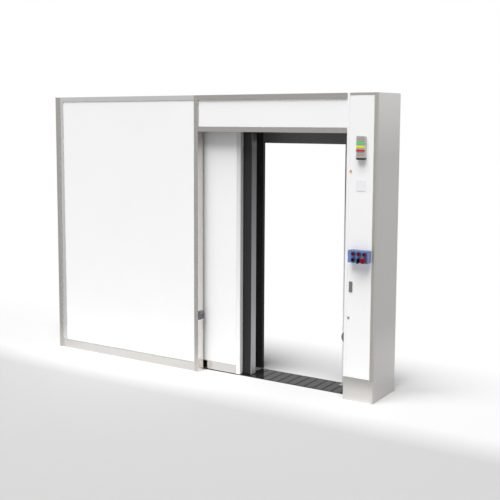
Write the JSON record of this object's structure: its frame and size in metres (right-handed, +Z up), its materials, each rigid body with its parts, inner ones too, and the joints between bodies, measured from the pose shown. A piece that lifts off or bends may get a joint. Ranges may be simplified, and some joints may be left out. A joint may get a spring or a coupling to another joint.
{
  "type": "radiation shielding sliding door",
  "caption": "Motor-driven shielding door: a layered leaf slides from a clad bay past a black portal frame into a steel control column with signal lamp and control box.",
  "frame": {"origin": "on the floor, on the passage's centre line, under the middle of the threshold plate's depth", "axes": "+X along the wall towards the control column, +Y into the wall, +Z up"},
  "size_m": [3.429, 0.563, 2.5],
  "materials": {
    "steel_warm": "fine brushed stainless steel, warm grey",
    "steel_light": "brushed stainless steel, light grey",
    "steel_pale": "bright stainless steel skirting",
    "white_panel": "smooth white powder coat",
    "black_frame": "black satin paint",
    "graphite": "dark grey plastic, matt",
    "threshold": "dark grey anti-slip plate, semi-gloss",
    "zinc": "zinc-coated steel",
    "lamp_grey": "grey plastic housing",
    "lens_green": "green lens",
    "lens_yellow": "yellow lens",
    "lens_red": "red lens",
    "sign_white": "plain enamelled plate",
    "box_blue": "blue plastic housing",
    "button_red": "red button plastic",
    "button_black": "black button plastic",
    "brass": "brass lock barrel",
    "lock_steel": "steel lock barrel"
  },
  "bodies": {
    "surround": {"left_post": "steel_warm", "left_side_panel": "steel_light", "left_trim": "steel_light", "left_bay_panel": "white_panel", "left_bay_skirting": "steel_pale", "mid_post": "steel_warm", "header_top_rail": "steel_warm", "header_panel": "white_panel", "header_bottom_rail": "steel_warm", "top_cover": "steel_light", "portal_left_stile": "black_frame", "portal_right_stile": "black_frame", "portal_top_rail": "black_frame", "closing_strip": "steel_light", "running_beam": "zinc", "beam_gussets": "zinc", "rail_webs": "zinc", "running_rail": "zinc", "threshold_plate": "threshold", "column_edge_post": "white_panel", "column_front_panel": "white_panel", "column_trim": "steel_warm", "column_side_panel": "steel_light", "column_skirting": "steel_pale", "signal_lamp": "lamp_grey", "lamp_green": "lens_green", "lamp_yellow": "lens_yellow", "lamp_red": "lens_red", "sign_plate": "sign_white", "reader_plate": "lamp_grey", "upper_lock": "brass", "lower_lock": "lock_steel", "left_photocell": "graphite", "right_photocell": "graphite", "control_box": "box_blue", "control_bezels": "box_blue"},
    "leaf": {"leaf_front_panel": "white_panel", "leaf_nose_strip": "white_panel", "leaf_skirting": "steel_pale", "leaf_core": "graphite", "leaf_end_plate": "steel_light", "leaf_rear_layer": "steel_light", "leaf_sole_plate": "graphite", "leaf_hangers": "zinc"},
    "push_button_left": {"push_button_left": "button_red"},
    "push_button_middle": {"push_button_middle": "button_red"},
    "push_button_right": {"push_button_right": "button_red"},
    "black_button": {"black_button": "button_black"},
    "selector_switch": {"selector_switch": "button_black"},
    "emergency_stop": {"emergency_stop": "button_red"}
  },
  "joints": [
    {"name": "leaf_slide", "type": "slide", "parent": "surround", "child": "leaf", "axis": [1, 0, 0], "range_m": [0, 1.11]},
    {"name": "press_left", "type": "slide", "parent": "surround", "child": "push_button_left", "axis": [0, 1, 0], "range_m": [0, 0.004], "stiffness_N_per_m": 1500, "springref_m": -0.001},
    {"name": "press_middle", "type": "slide", "parent": "surround", "child": "push_button_middle", "axis": [0, 1, 0], "range_m": [0, 0.004], "stiffness_N_per_m": 1500, "springref_m": -0.001},
    {"name": "press_right", "type": "slide", "parent": "surround", "child": "push_button_right", "axis": [0, 1, 0], "range_m": [0, 0.004], "stiffness_N_per_m": 1500, "springref_m": -0.001},
    {"name": "press_black", "type": "slide", "parent": "surround", "child": "black_button", "axis": [0, 1, 0], "range_m": [0, 0.004], "stiffness_N_per_m": 1500, "springref_m": -0.001},
    {"name": "selector_turn", "type": "hinge", "parent": "surround", "child": "selector_switch", "pos_m": [0.777, -0.35, 1.179], "axis": [0, 1, 0], "range_deg": [-45, 45]},
    {"name": "press_emergency", "type": "slide", "parent": "surround", "child": "emergency_stop", "axis": [0, 1, 0], "range_m": [0, 0.004]}
  ]
}
